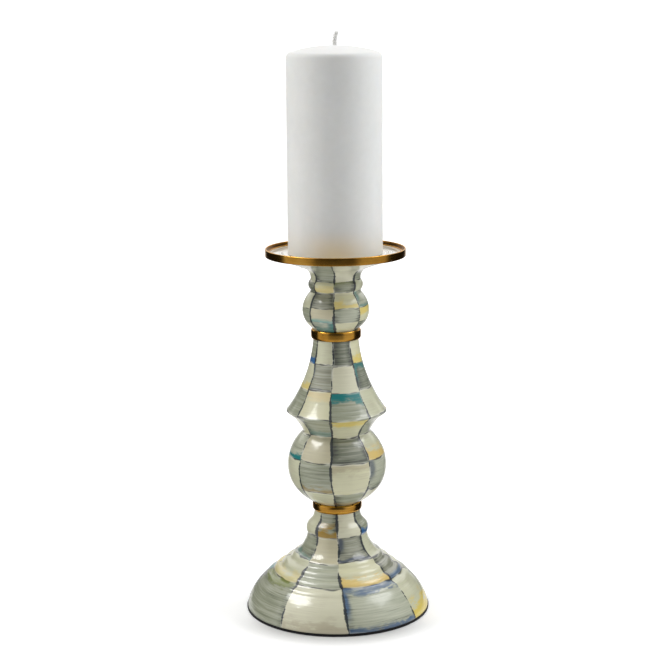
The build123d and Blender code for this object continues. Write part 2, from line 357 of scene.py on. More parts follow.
def wick_braid(material):
    """Three cotton strands twisted together, standing out of the wax and leaning over."""
    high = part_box("wick")[1]
    wax_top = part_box("candle")[1].z
    strand, offset, pitch = 1.10 * MM, 0.80 * MM, 7.0 * MM
    straight, lean = 3.2 * MM, math.radians(15)
    shift, sway_by = 0.4 * MM, 0.25 * MM
    slope_end = high.z - 0.1 * MM
    start = wax_top - 2.5 * MM
    count, around = 60, 10
    verts, faces = [], []
    for s in range(3):
        base = len(verts)
        for i in range(count + 1):
            z = start + (slope_end - start) * i / count
            above = max(0.0, z - wax_top - straight)
            sway = sway_by * math.sin((z - start) / (slope_end - start) * 2 * math.pi)
            x = shift + above * math.tan(lean) + sway
            twist = 2 * math.pi * (z - start) / pitch + s * 2 * math.pi / 3
            centre = Vector((x + offset * math.cos(twist), offset * math.sin(twist), z))
            thin = 1.0 - 0.35 * ease(i / count, 0.9, 1.0)
            for k in range(around):
                a = 2 * math.pi * k / around
                verts.append(centre + Vector((strand * thin * math.cos(a), strand * thin * math.sin(a), 0)))
        faces += between_rings(count + 1, around, first=base)
        faces.append(tuple(base + k for k in reversed(range(around))))
        faces.append(tuple(base + count * around + k for k in range(around)))
    return new_piece("wick_braid", verts, faces, material, CANDLE, ["wick"])


def threaded_rod(material):
    """The long rod through the middle, threaded where its nuts run."""
    low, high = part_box("tie_rod")
    radius, pitch, depth = high.x, 1.0 * MM, 0.5 * MM
    thread, plain_step = 14 * MM, 6 * MM
    chamfer, chamfer_slope = 0.5 * MM, 0.8
    rings_a_turn, steps = 6, 32
    heights = []
    z = low.z
    while z < high.z:
        heights.append(z)
        threaded = z < low.z + thread or z > high.z - thread
        z += pitch / rings_a_turn if threaded else plain_step
    heights.append(high.z)
    verts = []
    for z in heights:
        share = ease(z, low.z, low.z + pitch) * (1 - ease(z, high.z - pitch, high.z))
        share *= 1 - ease(z, low.z + thread - pitch, low.z + thread) * (
            1 - ease(z, high.z - thread, high.z - thread + pitch)
        )
        end = min(z - low.z, high.z - z)
        for j in range(steps):
            a = 2 * math.pi * j / steps
            groove = abs(((z / pitch - j / steps) % 1.0) * 2 - 1)
            r = radius - share * depth * groove - max(0.0, chamfer - end) * chamfer_slope
            verts.append((r * math.cos(a), r * math.sin(a), z))
    faces = between_rings(len(heights), steps)
    faces.append(tuple(reversed(range(steps))))
    faces.append(tuple((len(heights) - 1) * steps + j for j in range(steps)))
    return new_piece("threaded_rod", verts, faces, material, STAND, ["tie_rod"])


def chamfered_nut(name, node, material):
    """A hexagon nut with its corners turned off at 30 degrees, both faces."""
    low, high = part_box(node)
    flat = min(high.x, high.y)
    hole, chamfer_start = 3.3 * MM, 0.97
    slope = math.tan(math.radians(60))
    steps, sixth = 120, math.pi / 3
    shares = (0, 0.06, 0.12, 0.2, 0.3, 0.5, 0.7, 0.8, 0.88, 0.94, 1)
    heights = [low.z + share * (high.z - low.z) for share in shares]
    angles = [2 * math.pi * j / steps for j in range(steps)]
    verts = [(hole * math.cos(a), hole * math.sin(a), low.z) for a in angles]
    for z in heights:
        cone = flat * chamfer_start + min(z - low.z, high.z - z) * slope
        for a in angles:
            hexagon = flat / math.cos((a + sixth / 2) % sixth - sixth / 2)
            r = min(hexagon, cone)
            verts.append((r * math.cos(a), r * math.sin(a), z))
    verts += [(hole * math.cos(a), hole * math.sin(a), high.z) for a in angles]
    faces = between_rings(len(heights) + 2, steps, closed=True)
    piece = new_piece(name, verts, faces, material, STAND, [node])
    for face in piece.data.polygons:
        face.use_smooth = False
    return piece


# ---------------------------------------------------------------- materials

def linear(rgb):
    """Scene-linear colour, with alpha 1, of an 8-bit screen colour."""
    made = []
    for value in rgb:
        c = value / 255
        made.append(c / 12.92 if c <= 0.04045 else ((c + 0.055) / 1.055) ** 2.4)
    return (*made, 1.0)


class Nodes:
    """Short names for the shader nodes that the finishes are made of. place is the object's own."""

    def __init__(self, name):
        self.material = bpy.data.materials.new(name)
        self.material.use_nodes = True
        self.tree = self.material.node_tree
        self.tree.nodes.clear()
        self.place = self.add("ShaderNodeTexCoord").outputs["Object"]
        self.x, self.y, self.z = self.split(self.place)

    def add(self, kind, **settings):
        node = self.tree.nodes.new(kind)
        for key, value in settings.items():
            setattr(node, key, value)
        return node

    def put(self, socket, value):
        if isinstance(value, bpy.types.NodeSocket):
            self.tree.links.new(value, socket)
        else:
            socket.default_value = value

    def math(self, operation, *values, clamp=False):
        node = self.add("ShaderNodeMath", operation=operation, use_clamp=clamp)
        for socket, value in zip(node.inputs, values):
            self.put(socket, value)
        return node.outputs[0]

    def plus(self, a, b):
        return self.math("ADD", a, b)

    def times(self, a, b):
        return self.math("MULTIPLY", a, b)

    def sum_of(self, a, share_a, b, share_b):
        return self.plus(self.times(a, share_a), self.times(b, share_b))

    def inverse(self, value):
        return self.math("SUBTRACT", 1.0, value)

    def largest(self, first, *others):
        for other in others:
            first = self.math("MAXIMUM", first, other)
        return first

    def radius(self):
        return self.math("SQRT", self.sum_of(self.x, self.x, self.y, self.y))

    def split(self, vector):
        node = self.add("ShaderNodeSeparateXYZ")
        self.put(node.inputs[0], vector)
        return node.outputs

    def join(self, x, y, z):
        node = self.add("ShaderNodeCombineXYZ")
        for socket, value in zip(node.inputs, (x, y, z)):
            self.put(socket, value)
        return node.outputs[0]

    def scaled(self, x, y, z, height=None):
        """The place with each axis scaled, and the height replaced where one is given."""
        height = self.z if height is None else height
        return self.join(self.times(self.x, x), self.times(self.y, y), self.times(height, z))

    def blend(self, share, a, b):
        node = self.add("ShaderNodeMix", data_type="RGBA")
        self.put(node.inputs[0], share)
        self.put(node.inputs[6], a)
        self.put(node.inputs[7], b)
        return node.outputs[2]

    def noise(self, where, scale, detail=2.0, roughness=0.5):
        node = self.add("ShaderNodeTexNoise")
        self.put(node.inputs["Vector"], where)
        node.inputs["Scale"].default_value = scale
        node.inputs["Detail"].default_value = detail
        node.inputs["Roughness"].default_value = roughness
        return node.outputs["Fac"]

    def sway(self, where, scale, detail, amount):
        """Noise that wanders both ways from zero."""
        return self.times(self.plus(self.noise(where, scale, detail), -0.5), amount)

    def random(self, value):
        """Three unrelated numbers from 0 to 1 for each different value."""
        node = self.add("ShaderNodeTexWhiteNoise", noise_dimensions="1D")
        self.put(node.inputs["W"], value)
        return self.split(node.outputs["Color"])

    def soft(self, value, low, high, start=0.0, end=1.0):
        """start below low, end above high, smooth between."""
        node = self.add("ShaderNodeMapRange", interpolation_type="SMOOTHSTEP")
        for socket, number in zip(node.inputs, (value, low, high, start, end)):
            self.put(socket, number)
        return node.outputs[0]

    def steps(self, value, colours):
        """A constant colour ramp of equal steps."""
        node = self.add("ShaderNodeValToRGB")
        ramp = node.color_ramp
        ramp.interpolation = "CONSTANT"
        for i, colour in enumerate(colours):
            spot = ramp.elements[i] if i < 2 else ramp.elements.new(i / len(colours))
            spot.position = i / len(colours)
            spot.color = colour
        self.put(node.inputs[0], value)
        return node.outputs["Color"], node.outputs["Alpha"]

    def ramp(self, value, stops):
        """A smooth colour ramp; each stop is its place, red, green and blue."""
        node = self.add("ShaderNodeValToRGB")
        for i, (spot, *colour) in enumerate(stops):
            element = node.color_ramp.elements[i] if i < 2 else node.color_ramp.elements.new(spot)
            element.position = spot
            element.color = (*colour, 1.0)
        self.put(node.inputs[0], value)
        return node.outputs["Color"]

    def bend(self, value, points):
        """A piecewise straight curve from 0..1 to 0..1."""
        node = self.add("ShaderNodeFloatCurve")
        curve = node.mapping.curves[0]
        for x, y in points[1:-1]:
            curve.points.new(x, y)
        for point in curve.points:
            point.handle_type = "VECTOR"
        node.mapping.update()
        self.put(node.inputs["Value"], value)
        return node.outputs[0]

    def bump(self, height, strength, distance):
        node = self.add("ShaderNodeBump")
        node.inputs["Strength"].default_value = strength
        node.inputs["Distance"].default_value = distance
        self.put(node.inputs["Height"], height)
        return node.outputs[0]

    def surface(self, shader):
        """Ends the material in a shader and hands the material back."""
        end = self.add("ShaderNodeOutputMaterial")
        self.put(end.inputs["Surface"], shader.outputs[0])
        return self.material

    def finish(self, colour, roughness, normal=None, **constants):
        """The usual glossy or matt surface, with the constants on the shader's own sockets."""
        shader = self.add("ShaderNodeBsdfPrincipled")
        self.put(shader.inputs["Base Color"], colour)
        self.put(shader.inputs["Roughness"], roughness)
        if normal is not None:
            self.put(shader.inputs["Normal"], normal)
            if constants.get("Coat Weight"):
                self.put(shader.inputs["Coat Normal"], normal)
        for key, value in constants.items():
            shader.inputs[key].default_value = value
        return self.surface(shader)


def cell_tables(rows, washes):
    """Three lists, cell by cell from the bottom row up: tone (alpha 1 on a grey), wash (alpha its strength)
    and how far the wash reaches into the cell from each of its edges, as a share of the cell."""
    tones, colours, places = [], [], []
    for level, row in enumerate(rows):
        for name, tone in zip(COLUMNS, row.split()):
            tones.append((*linear(ENAMEL[tone])[:3], 1.0 if tone in GREYS else 0.0))
            wash = washes.get((name, level))
            if wash is None:
                colours.append((0.0, 0.0, 0.0, 0.0))
                places.append((0.0, 0.0, 0.0, 0.0))
            else:
                colour, strength, edges = wash
                colours.append((*linear(WASHES[colour])[:3], strength))
                places.append(tuple(edges.get(side, 0.0) for side in SIDES))
    return tones, colours, places


def painted_check(name, node, borders, levels, rows, washes, lean, skew, stroke, seed):
    """A glazed check brushed on by hand. borders are the angles between the columns, in degrees from the
    front, and levels the heights between the rows, in millimetres. lean is the share of the radius that is
    added to the height the brush strokes follow, so that they stay fine where the wall lies flat. skew is
    the angle by which the columns swing round from the bottom of the shell to its top. stroke is the
    usual breadth of the drawn lines, in millimetres."""
    n = Nodes(name)
    low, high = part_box(node)
    tall = high.z - low.z
    shift = n.add("ShaderNodeVectorMath", operation="ADD")
    n.put(shift.inputs[0], n.place)
    shift.inputs[1].default_value = (seed * 0.37, seed * 0.11, seed * 0.53)
    spot = shift.outputs[0]

    radius = n.radius()
    turn = n.plus(n.times(n.math("ARCTAN2", n.x, n.times(n.y, -1.0)), 1 / (2 * math.pi)), 0.5)
    round_mm = n.times(radius, 2 * math.pi / MM)
    waver = n.plus(n.sway(spot, 34.0, 1.0, 5.0), n.sway(spot, 190.0, 2.0, 1.6))
    drift = n.math("DIVIDE", waver, round_mm)
    columns, just_below = len(COLUMNS), 0.0001
    column_points = [((a + 180) / 360, (i + 1) / columns) for i, a in enumerate(borders)]
    column_points = [(0.0, 0.0), *column_points, (1.0, 1.0)]
    swing = n.times(n.plus(n.z, -low.z), -skew / 360 / tall)
    swung = n.plus(turn, n.plus(drift, swing))
    column = n.times(n.bend(swung, column_points), columns - just_below)
    column_id = n.math("FLOOR", column)
    u = n.math("FRACT", column)

    per_column = n.random(n.plus(column_id, seed))[0]
    sag = n.plus(n.times(n.plus(per_column, -0.5), 2.4), n.sway(spot, 55.0, 1.0, 2.0))
    height = n.plus(n.z, n.times(sag, MM))
    share = n.times(n.plus(height, -low.z), 1 / tall)
    count = len(rows)
    row_points = [((z * MM - low.z) / tall, (i + 1) / count) for i, z in enumerate(levels)]
    row_points = [(0.0, 0.0), *row_points, (1.0, 1.0)]
    row = n.times(n.bend(share, row_points), count - just_below)
    row_id = n.math("FLOOR", row)
    v = n.math("FRACT", row)
    cell = n.plus(n.times(row_id, float(columns)), column_id)

    looked_up = []
    for table in cell_tables(rows, washes):
        parts = []
        for first in range(0, len(table), RAMP_SIZE):
            part = table[first:first + RAMP_SIZE]
            where = n.times(n.plus(cell, 0.5 - first), 1 / len(part))
            parts.append(n.steps(where, part))
        colour, alpha = parts[0]
        if len(parts) > 1:
            upper = n.math("GREATER_THAN", cell, RAMP_SIZE - 0.5)
            colour = n.blend(upper, colour, parts[1][0])
            alpha = n.sum_of(alpha, n.inverse(upper), parts[1][1], upper)
        looked_up.append((colour, alpha))
    (tone, is_grey), (wash, wash_strength), (edges, edge_right) = looked_up
    edge_low, edge_top, edge_left = n.split(edges)
    chance_a, chance_b, chance_c = n.random(n.plus(cell, 100.0 + seed))

    # Brush strokes run round the object, broken up from cell to cell.
    along = n.plus(n.z, n.times(radius, lean))
    stroke_at = n.join(
        n.sum_of(n.x, 26.0, chance_a, 9.0), n.sum_of(n.y, 26.0, chance_b, 9.0), n.times(along, 640.0)
    )
    strokes = n.noise(stroke_at, 1.0, 4.0, 0.62)
    bristles = n.noise(n.scaled(30.0, 30.0, 1500.0, along), 1.0, 2.0)
    pools = n.noise(spot, 60.0, 2.0)
    brushed = n.soft(n.sum_of(strokes, 0.66, bristles, 0.34), 0.30, 0.70)

    # Greys: thin paint dragged over pale ground, heavier towards the sides of the cell.
    wide_mm = n.times(round_mm, 1 / columns)
    from_left = n.times(u, wide_mm)
    from_right = n.times(n.inverse(u), wide_mm)
    heavy_left = n.times(n.soft(from_left, 0.5, 9.0, 1.0, 0.0), n.soft(chance_a, 0.1, 0.6))
    heavy_right = n.times(n.soft(from_right, 0.5, 6.0, 1.0, 0.0), n.soft(chance_b, 0.45, 0.8))
    heavy_low = n.times(n.soft(v, 0.0, 0.35, 1.0, 0.0), n.soft(chance_c, 0.55, 0.9))
    heavy = n.times(n.largest(heavy_left, heavy_right, heavy_low), n.soft(pools, 0.3, 0.6, 0.45, 1.0))
    thin = n.soft(n.plus(brushed, n.times(heavy, -0.72)), -0.5, 1.0)
    slate = n.blend(0.80, tone, (0.064, 0.070, 0.060, 1.0))
    chalk = n.blend(0.30, tone, (0.72, 0.72, 0.60, 1.0))
    grey = n.blend(n.soft(thin, 0.05, 0.55), slate, tone)
    grey = n.blend(n.soft(thin, 0.62, 1.0), grey, chalk)
    # Creams: opaque, with faint dragged lines of a greyer fawn.
    fawn = n.blend(0.30, tone, (0.42, 0.38, 0.27, 1.0))
    lines = n.times(n.soft(brushed, 0.75, 0.15, 0.0, 1.0), n.soft(pools, 0.40, 0.60, 0.30, 1.0))
    cream = n.blend(n.times(lines, 0.85), tone, fawn)
    colour = n.blend(is_grey, cream, grey)

    # A wash of colour laid in from one edge of some cells.
    def reaching(inward, far):
        return n.soft(n.math("DIVIDE", inward, n.math("MAXIMUM", far, 0.001)), 0.0, 1.0, 1.0, 0.0)

    wander = n.noise(n.scaled(62.0, 62.0, 150.0, along), 1.0, 3.0, 0.6)
    wander = n.soft(wander, 0.33, 0.64, 0.45, 1.35)
    reach_low = reaching(v, n.times(edge_low, wander))
    reach_top = reaching(n.inverse(v), n.times(edge_top, wander))
    reach_left = n.times(reaching(u, edge_left), n.soft(v, 0.05, 0.75))
    reach_right = reaching(n.inverse(u), edge_right)
    reach = n.largest(reach_low, reach_top, reach_left, reach_right)
    streaky = n.plus(n.sum_of(brushed, 0.85, pools, 1.1), 0.25)
    reach = n.soft(n.times(reach, streaky), 0.06, 0.95)
    colour = n.blend(n.times(reach, wash_strength), colour, wash)

    # Dark drawn strokes on the borders, with pale ground showing beside them.
    column_gap = n.math("MINIMUM", from_left, from_right)
    usual_height_mm = 16.0
    row_gap = n.times(n.math("MINIMUM", v, n.inverse(v)), usual_height_mm)
    beat = n.noise(spot, 52.0, 1.0)
    dots = n.noise(n.scaled(20.0, 20.0, 420.0, along), 1.0, 2.0)
    width = n.sum_of(n.soft(beat, 0.34, 0.64), stroke, n.soft(dots, 0.4, 0.6), 0.45 * stroke)
    line = n.soft(column_gap, n.times(width, 0.55), n.plus(width, 0.12), 1.0, 0.0)
    line = n.times(line, n.soft(n.plus(beat, n.times(dots, 0.35)), 0.50, 0.62, 0.15, 0.96))
    beat_round = n.noise(n.plus(turn, n.times(row_id, 0.31)), 9.0, 1.0)
    row_width = n.times(n.soft(beat_round, 0.42, 0.66), 0.62 * stroke)
    row_line = n.soft(row_gap, n.times(row_width, 0.4), n.plus(row_width, 0.1), 1.0, 0.0)
    row_line = n.times(row_line, n.soft(beat_round, 0.46, 0.58, 0.0, 0.85))
    bare = n.soft(n.math("MINIMUM", column_gap, row_gap), 0.35, 1.15, 0.55, 0.0)
    bare = n.times(bare, n.soft(pools, 0.40, 0.60))
    colour = n.blend(bare, colour, (0.80, 0.80, 0.70, 1.0))
    ink = n.math("MAXIMUM", line, row_line)
    colour = n.blend(ink, colour, (0.016, 0.024, 0.034, 1.0))

    # The hidden side of the sheet has only the dark speckled ground coat.
    facing_x, facing_y, _ = n.split(n.add("ShaderNodeNewGeometry").outputs["Normal"])
    outwards = n.math("DIVIDE", n.sum_of(facing_x, n.x, facing_y, n.y), radius)
    hidden = n.soft(outwards, -0.35, -0.12, 1.0, 0.0)
    fleck = n.soft(n.noise(spot, 1500.0, 2.0), 0.60, 0.70)
    ground_coat = n.blend(fleck, (0.020, 0.024, 0.030, 1.0), (0.13, 0.14, 0.15, 1.0))
    colour = n.blend(hidden, colour, ground_coat)

    relief = n.sum_of(brushed, 0.5, n.noise(spot, 240.0, 2.0), 0.9)
    relief = n.plus(relief, n.times(ink, 0.5))
    return n.finish(
        colour, n.soft(strokes, 0.3, 0.7, 0.34, 0.5), n.bump(relief, 0.22, 0.35 * MM),
        **{"Specular IOR Level": 0.5, "Coat Weight": 1.0, "Coat Roughness": 0.07, "Coat IOR": 1.55},
    )


def brass(name, dark_share):
    """Spun brass: fine turning lines, brown spots, and a painted dark reflection on the inner wall of the
    tray's rim.
    """
    n = Nodes(name)
    radius = n.radius()
    along = n.plus(n.z, n.times(radius, 0.8))
    turning = n.noise(n.scaled(6.0, 6.0, 2600.0, along), 1.0, 3.0, 0.6)
    tone = n.noise(n.place, 55.0, 3.0, 0.6)
    colour = n.ramp(
        n.sum_of(tone, 0.7, turning, 0.3),
        [(0.30, 0.46, 0.215, 0.030), (0.50, 0.66, 0.340, 0.055), (0.72, 0.76, 0.430, 0.095)],
    )
    spots = n.soft(n.noise(n.place, 420.0, 2.0), 0.66, 0.74)
    colour = n.blend(n.times(spots, dark_share), colour, (0.16, 0.085, 0.025, 1.0))
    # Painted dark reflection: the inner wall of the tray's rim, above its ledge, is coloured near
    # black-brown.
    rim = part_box("tray_rim")[1]
    painted_dark_reflection = n.soft(radius, rim.x - 1.7 * MM, rim.x - 1.3 * MM)
    painted_dark_reflection = n.times(painted_dark_reflection, n.soft(radius, rim.x - 0.8 * MM, rim.x - 0.4 * MM, 1.0, 0.0))
    painted_dark_reflection = n.times(painted_dark_reflection, n.soft(n.z, rim.z - 2.2 * MM, rim.z - 1.9 * MM))
    painted_dark_reflection = n.times(painted_dark_reflection, n.soft(n.z, rim.z - 0.6 * MM, rim.z - 0.2 * MM, 1.0, 0.0))
    colour = n.blend(n.times(painted_dark_reflection, 0.85), colour, (0.09, 0.045, 0.012, 1.0))
    return n.finish(
        colour, n.soft(turning, 0.3, 0.7, 0.15, 0.24), n.bump(turning, 0.10, 0.05 * MM),
        **{"Metallic": 1.0},
    )


def tray_enamel():
    """White enamel of the pan: faint grey rings, a brown line at its step and, towards the rim, a painted
    tan reflection of the brass.
    """
    n = Nodes("pan_enamel")
    radius = n.radius()
    rings = n.noise(n.scaled(9.0, 9.0, 900.0, radius), 1.0, 3.0)
    clouds = n.noise(n.place, 45.0, 3.0)
    colour = n.ramp(
        n.sum_of(rings, 0.55, clouds, 0.45),
        [(0.34, 0.60, 0.59, 0.50), (0.48, 0.80, 0.79, 0.71), (0.66, 0.88, 0.88, 0.82)],
    )
    specks = n.soft(n.noise(n.place, 900.0, 1.0), 0.74, 0.80)
    colour = n.blend(n.times(specks, 0.5), colour, (0.25, 0.22, 0.16, 1.0))
    from_step = n.math("ABSOLUTE", n.plus(radius, -STEP_RADIUS))
    step = n.soft(from_step, 0.2 * MM, 0.9 * MM, 0.75, 0.0)
    colour = n.blend(n.times(step, n.soft(clouds, 0.35, 0.55)), colour, (0.20, 0.13, 0.06, 1.0))
    # Painted reflection of the brass rim: the white turns tan towards the rim.
    tan = n.soft(radius, BRASS_REFLECTION_FROM, BRASS_REFLECTION_TO, 0.0, 0.45)
    colour = n.blend(tan, colour, (0.55, 0.43, 0.27, 1.0))
    return n.finish(
        colour, n.soft(rings, 0.3, 0.7, 0.22, 0.36), n.bump(rings, 0.18, 0.1 * MM),
        **{"Coat Weight": 1.0, "Coat Roughness": 0.08},
    )


def wax():
    """Matt paraffin: milky, faintly mottled and bloomed, with a painted warm reflection of the brass low on
    its front and back.
    """
    n = Nodes("pillar_wax")
    cloud = n.noise(n.place, 26.0, 3.0, 0.55)
    bloom = n.noise(n.place, 160.0, 3.0, 0.6)
    grain = n.noise(n.place, 1300.0, 2.0)
    colour = n.ramp(
        n.sum_of(cloud, 0.6, bloom, 0.4),
        [(0.32, 0.785, 0.79, 0.775), (0.50, 0.81, 0.815, 0.80), (0.70, 0.835, 0.84, 0.828)],
    )
    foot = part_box("candle")[0].z
    # Painted reflection of the brass rim: the wax is coloured warmer low down, most on its front and back.
    reflection_height, reflection_width = 27 * MM, 30 * MM
    painted_glow = n.soft(n.z, foot, foot + reflection_height, 0.95, 0.0)
    painted_glow = n.times(painted_glow, n.soft(n.math("ABSOLUTE", n.x), 0.0, reflection_width, 1.0, 0.22))
    colour = n.blend(painted_glow, colour, (0.93, 0.79, 0.56, 1.0))
    height = n.sum_of(bloom, 0.7, grain, 0.3)
    return n.finish(
        colour, n.soft(bloom, 0.3, 0.7, 0.50, 0.62), n.bump(height, 0.12, 0.2 * MM),
        **{
            "Subsurface Weight": 0.35,
            "Subsurface Radius": (1.0, 0.85, 0.7),
            "Subsurface Scale": 6 * MM,
            "Specular IOR Level": 0.35,
        },
    )


def cotton():
    """Cotton of the wick, twisted and fuzzy."""
    n = Nodes("wick_cotton")
    twist = n.noise(n.scaled(900.0, 900.0, 2600.0), 1.0, 3.0, 0.7)
    fuzz = n.noise(n.place, 4200.0, 2.0)
    colour = n.ramp(
        n.sum_of(twist, 0.6, fuzz, 0.4),
        [(0.30, 0.72, 0.71, 0.68), (0.52, 0.86, 0.86, 0.84), (0.75, 0.93, 0.93, 0.92)],
    )
    return n.finish(colour, n.soft(fuzz, 0.3, 0.7, 0.75, 0.95), n.bump(twist, 0.5, 0.15 * MM))


def black_edge():
    """The black edge under the foot: dull and lightly scuffed all round."""
    n = Nodes("foot_edge_black")
    grain = n.noise(n.place, 900.0, 3.0, 0.6)
    scuff = n.noise(n.scaled(60.0, 60.0, 900.0), 1.0, 3.0)
    colour = n.ramp(
        n.sum_of(grain, 0.4, scuff, 0.6),
        [(0.35, 0.004, 0.004, 0.005), (0.55, 0.012, 0.012, 0.014), (0.78, 0.045, 0.045, 0.048)],
    )
    return n.finish(
        colour, n.soft(scuff, 0.3, 0.7, 0.45, 0.65), n.bump(grain, 0.25, 0.08 * MM),
        **{"Specular IOR Level": 0.2},
    )


def zinc():
    """Zinc-plated steel of the rod, nuts, washers and spacer tube."""
    n = Nodes("zinc_plated_steel")
    cloud = n.noise(n.place, 240.0, 3.0, 0.6)
    scratch = n.noise(n.scaled(2500.0, 300.0, 900.0), 1.0, 3.0)
    colour = n.ramp(
        n.sum_of(cloud, 0.6, scratch, 0.4),
        [(0.32, 0.33, 0.34, 0.35), (0.52, 0.52, 0.53, 0.54), (0.72, 0.66, 0.67, 0.70)],
    )
    return n.finish(
        colour, n.soft(cloud, 0.3, 0.7, 0.24, 0.44), n.bump(scratch, 0.2, 0.05 * MM), **{"Metallic": 1.0}
    )


def red_fibre():
    """Vulcanised fibre of the gaskets: brick red with pale and dark strands."""
    n = Nodes("gasket_fibre")
    strands = n.noise(n.scaled(700.0, 2200.0, 2200.0), 1.0, 4.0, 0.7)
    cloud = n.noise(n.place, 300.0, 2.0)
    colour = n.ramp(
        n.sum_of(strands, 0.7, cloud, 0.3),
        [(0.32, 0.10, 0.022, 0.014), (0.52, 0.22, 0.055, 0.035), (0.74, 0.36, 0.14, 0.10)],
    )
    return n.finish(colour, n.soft(strands, 0.3, 0.7, 0.7, 0.9), n.bump(strands, 0.35, 0.1 * MM))


BASE_ROWS = [  # from the bottom up, each row in the order of COLUMNS
    "cream dark grey pale light cream grey ivory",
    "light ivory cream light ivory taupe cream grey",
    "ivory taupe grey beige taupe cream dark cream",
    "grey cream cream grey pale grey ivory taupe",
]
BASE_WASHES = {
    ("A", 0): ("olive", 0.90, {"top": 0.20}),
    ("B", 0): ("brown", 0.30, {"low": 0.5}),
    ("C", 0): ("steel", 0.85, {"left": 0.14, "top": 0.20, "low": 0.25}),
    ("D", 0): ("yellow", 0.90, {"low": 0.7}),
    ("C", 1): ("orange", 0.75, {"low": 0.55}),
    ("A", 1): ("yellow", 0.40, {"low": 0.6}),
    ("D", 1): ("blue", 0.60, {"low": 0.3}),
    ("A", 2): ("teal", 0.40, {"low": 0.3}),
    ("C", 2): ("navy", 0.75, {"left": 0.35, "low": 0.2}),
    ("B", 3): ("ochre", 1.00, {"low": 0.75}),
    ("D", 3): ("blue", 0.95, {"low": 0.6}),
    ("E", 1): ("orange", 0.70, {"right": 0.4}),
    ("F", 0): ("yellow", 0.70, {"top": 0.4}),
    ("H", 0): ("teal", 0.80, {"top": 0.3, "left": 0.1}),
    ("G", 2): ("peach", 0.60, {"left": 0.5}),
    ("F", 3): ("aqua", 0.70, {"low": 0.6}),
    ("H", 1): ("yellow", 0.60, {"low": 0.5}),
    ("E", 2): ("blue", 0.70, {"top": 0.3}),
}
STEM_ROWS = [
    "grey ivory light cream grey ivory taupe cream",
    "cream dark cream grey ivory light ivory grey",
    "grey cream light beige dark cream grey ivory",
    "cream grey ivory grey ivory light cream dark",
    "grey ivory grey ivory grey cream taupe ivory",
    "ivory dark cream taupe pale dark ivory grey",
    "light cream grey cream dark ivory grey cream",
]
STEM_WASHES = {
    ("A", 6): ("blue", 0.95, {"low": 0.45}),
    ("D", 6): ("yellow", 0.75, {"low": 0.55}),
    ("A", 5): ("yellow", 0.65, {"low": 0.5}),
    ("B", 5): ("navy", 0.60, {"left": 0.16, "low": 0.12}),
    ("D", 5): ("teal", 0.75, {"top": 0.35, "left": 0.25}),
    ("B", 4): ("peach", 0.50, {"top": 0.50}),
    ("C", 4): ("teal", 1.00, {"top": 0.60}),
    ("B", 3): ("teal", 0.40, {"low": 0.45}),
    ("C", 3): ("yellow", 0.80, {"top": 0.5}),
    ("A", 2): ("teal", 1.00, {"low": 0.5}),
    ("D", 2): ("orange", 0.75, {"low": 0.6}),
    ("B", 1): ("ochre", 0.60, {"low": 0.32}),
    ("D", 1): ("navy", 0.65, {"left": 0.3}),
    ("C", 1): ("brown", 0.30, {"top": 0.5}),
    ("E", 4): ("yellow", 0.60, {"low": 0.4}),
    ("F", 5): ("aqua", 0.75, {"top": 0.5}),
    ("G", 3): ("orange", 0.65, {"low": 0.5}),
    ("H", 5): ("blue", 0.80, {"left": 0.25}),
    ("E", 1): ("teal", 0.80, {"top": 0.4}),
    ("F", 2): ("peach", 0.70, {"right": 0.5}),
    ("G", 6): ("teal", 0.70, {"low": 0.4}),
    ("H", 2): ("yellow", 0.70, {"top": 0.5}),
}
KNOP_ROWS = [
    "cream grey cream light ivory grey cream taupe",
    "grey ivory grey beige light ivory grey cream",
    "ivory taupe cream taupe ivory light ivory grey",
    "light cream dark ivory grey cream taupe ivory",
    "cream grey cream grey pale grey cream grey",
]
KNOP_WASHES = {
    ("B", 3): ("yellow", 0.50, {"low": 0.9}),
    ("C", 3): ("olive", 0.50, {"top": 0.4}),
    ("C", 2): ("yellow", 0.60, {"low": 0.8}),
    ("D", 2): ("teal", 0.60, {"left": 0.35, "low": 0.3}),
    ("B", 0): ("teal", 0.75, {"low": 1.0, "right": 0.4}),
    ("B", 1): ("aqua", 0.70, {"low": 0.35}),
    ("D", 1): ("yellow", 0.75, {"top": 0.7}),
    ("E", 2): ("orange", 0.60, {"low": 0.5}),
    ("F", 1): ("blue", 0.70, {"top": 0.4}),
    ("G", 3): ("teal", 0.70, {"low": 0.5}),
    ("H", 1): ("yellow", 0.60, {"low": 0.5}),
}


# ---------------------------------------------------------------- the object

def painted_stand():
    """The three enamelled shells, each with its own check."""
    base = painted_check(
        "painted_check_base", "base_shell", borders=(-137, -92, -37, 6, 57, 96, 139),
        levels=(32.5, 47.5, 65.5), rows=BASE_ROWS, washes=BASE_WASHES, lean=-0.6, skew=-7.0, stroke=1.25,
        seed=3.0,
    )
    stem = painted_check(
        "painted_check_stem", "stem", borders=(-139, -92, -49, -5, 42, 88, 133),
        levels=(106, 132, 151, 168.2, 188.5, 209), rows=STEM_ROWS, washes=STEM_WASHES, lean=0.0,
        skew=-4.0, stroke=1.05, seed=11.0,
    )
    knop = painted_check(
        "painted_check_knop", "knop", borders=(-136, -93, -49, -3, 44, 90, 134),
        levels=(243.5, 255, 267, 275.6), rows=KNOP_ROWS, washes=KNOP_WASHES, lean=0.5, skew=0.0,
        stroke=1.0, seed=23.0,
    )
    painted_shell("painted_base", "base_shell", base, 5, swell=0.34 * MM, ripple=0.16 * MM)
    painted_shell("painted_stem", "stem", stem, 3, swell=0.26 * MM, ripple=0.10 * MM)
    painted_shell("painted_knop", "knop", knop, 4, swell=0.20 * MM, ripple=0.08 * MM)


